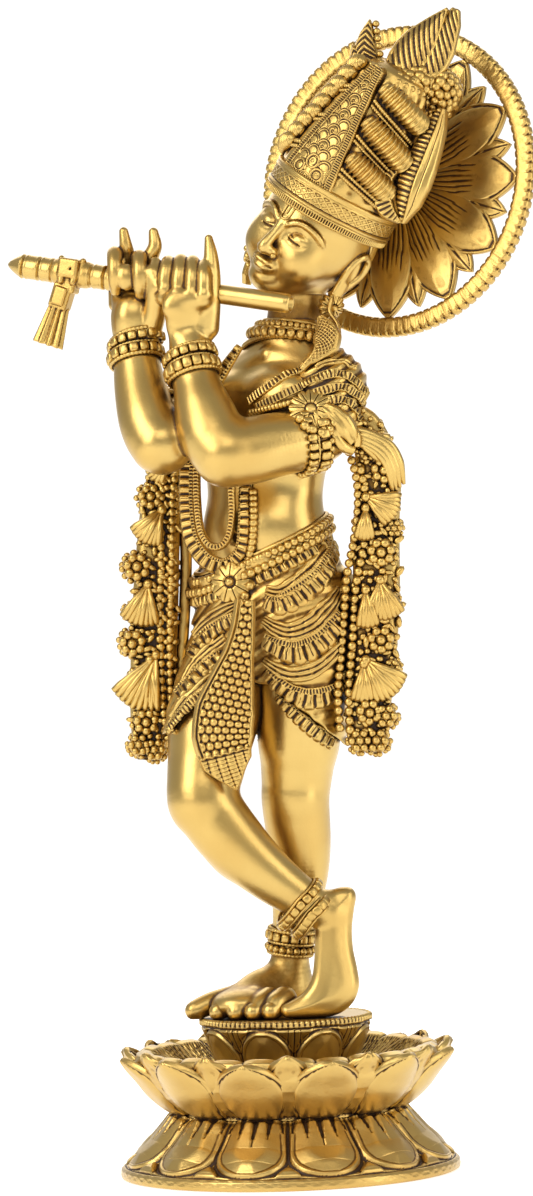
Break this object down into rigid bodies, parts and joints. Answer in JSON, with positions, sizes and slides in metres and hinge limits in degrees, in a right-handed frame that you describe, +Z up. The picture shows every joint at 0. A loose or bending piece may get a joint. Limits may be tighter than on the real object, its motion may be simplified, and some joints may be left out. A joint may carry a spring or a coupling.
{
  "type": "hindu deity statue",
  "caption": "Cast-brass standing flute player on a double lotus base, legs crossed, with garlands, a tall leaning crown, a lotus halo and a removable flute.",
  "frame": {"origin": "middle of the base's resting plane", "axes": "+Z up, the figure faces -Y, its left side is +X"},
  "size_m": [0.1813, 0.132, 0.4507],
  "materials": {
    "skin_brass": "polished, brown patina in the creases",
    "ornament_brass": "satin, chased, dark patina in the recesses",
    "base_brass": "satin, antiqued",
    "steel": "zinc plated"
  },
  "bodies": {
    "statue": {"base_nut": "steel", "base_stud": "steel", "base_washer": "steel", "belt_flower": "ornament_brass", "collar_necklace": "ornament_brass", "crown_band": "ornament_brass", "crown_body": "ornament_brass", "crown_feather": "ornament_brass", "crown_front_plate": "ornament_brass", "crown_side_plume": "ornament_brass", "crown_tuft": "ornament_brass", "dhoti": "ornament_brass", "front_sash": "ornament_brass", "head": "skin_brass", "left_anklet": "ornament_brass", "left_arm": "skin_brass", "left_armlet": "ornament_brass", "left_bracelet": "ornament_brass", "left_crown_rolls": "ornament_brass", "left_earring": "ornament_brass", "left_garland": "ornament_brass", "left_leg": "skin_brass", "long_necklace": "ornament_brass", "lotus_base": "base_brass", "lotus_pedestal": "base_brass", "lotus_tray": "base_brass", "right_anklet": "ornament_brass", "right_arm": "skin_brass", "right_armlet": "ornament_brass", "right_bracelet": "ornament_brass", "right_crown_rolls": "ornament_brass", "right_earring": "ornament_brass", "right_garland": "ornament_brass", "right_leg": "skin_brass", "shoulder_shawl": "ornament_brass", "trunk": "skin_brass", "waist_belt": "ornament_brass"},
    "flute": {"flute_barrel": "skin_brass", "flute_collar": "skin_brass", "flute_pommel": "skin_brass", "flute_tassel": "skin_brass", "flute_tube": "skin_brass"},
    "halo": {"halo_lotus": "ornament_brass", "halo_peg": "ornament_brass", "halo_ring": "ornament_brass"}
  },
  "joints": [
    {"name": "flute_slide", "type": "slide", "parent": "statue", "child": "flute", "axis": [-0.937, -0.2968, 0.1841], "range_m": [0, 0.075]},
    {"name": "halo_pull", "type": "slide", "parent": "statue", "child": "halo", "axis": [-0.0867, 0.9884, -0.125], "range_m": [0, 0.012]}
  ]
}
